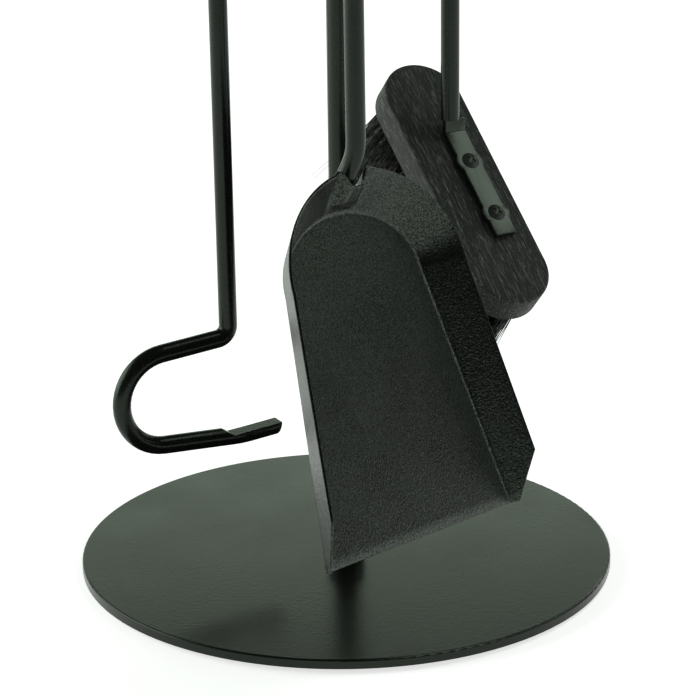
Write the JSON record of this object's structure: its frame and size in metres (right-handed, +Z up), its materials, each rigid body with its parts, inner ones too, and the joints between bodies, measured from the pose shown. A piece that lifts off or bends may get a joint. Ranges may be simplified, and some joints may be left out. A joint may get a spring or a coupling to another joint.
{
  "type": "fireplace tool set",
  "caption": "Hearth stand with a round base plate, slim post and hooks that hold a crook poker, a pressed ash shovel and an angled hearth brush",
  "frame": {"origin": "on the floor at the axis of the post", "axes": "+Z up, -Y towards the shovel side, +X towards the brush"},
  "size_m": [0.23, 0.2733, 0.652],
  "materials": {
    "black_coat": "satin black powder coat with fine texture",
    "stained_wood": "black-stained open grain wood",
    "bristle_fibre": "black stiff fibre",
    "black_screw": "black oxide screws, slightly worn",
    "plain_steel": "zinc-plated hidden stud and bolt",
    "base_foam": "dense black foam rubber"
  },
  "bodies": {
    "stand": {"base_plate": "black_coat", "base_pad": "base_foam", "base_bolt": "plain_steel", "base_collar": "black_coat", "lower_post": "black_coat", "post_stud": "plain_steel", "upper_post": "black_coat", "hook_hub": "black_coat", "poker_hook": "black_coat", "shovel_hook": "black_coat", "brush_hook": "black_coat", "post_cap": "black_coat", "carry_ring": "black_coat"},
    "poker": {"poker_rod": "black_coat"},
    "shovel": {"shovel_rod": "black_coat", "shovel_pan": "black_coat"},
    "brush": {"brush_rod": "black_coat", "brush_strap": "black_coat", "brush_block": "stained_wood", "brush_screw_upper": "black_screw", "brush_screw_lower": "black_screw", "bristles": "bristle_fibre"}
  },
  "joints": [
    {"name": "shovel_lift", "type": "slide", "parent": "stand", "child": "shovel", "axis": [0.0409, -0.4677, 0.8829], "range_m": [0, 0.2]},
    {"name": "brush_lift", "type": "slide", "parent": "stand", "child": "brush", "axis": [0.3846, 0.2693, 0.8829], "range_m": [0, 0.2]},
    {"name": "poker_lift", "type": "slide", "parent": "stand", "child": "poker", "axis": [-0.4255, 0.1984, 0.8829], "range_m": [0, 0.2]}
  ]
}
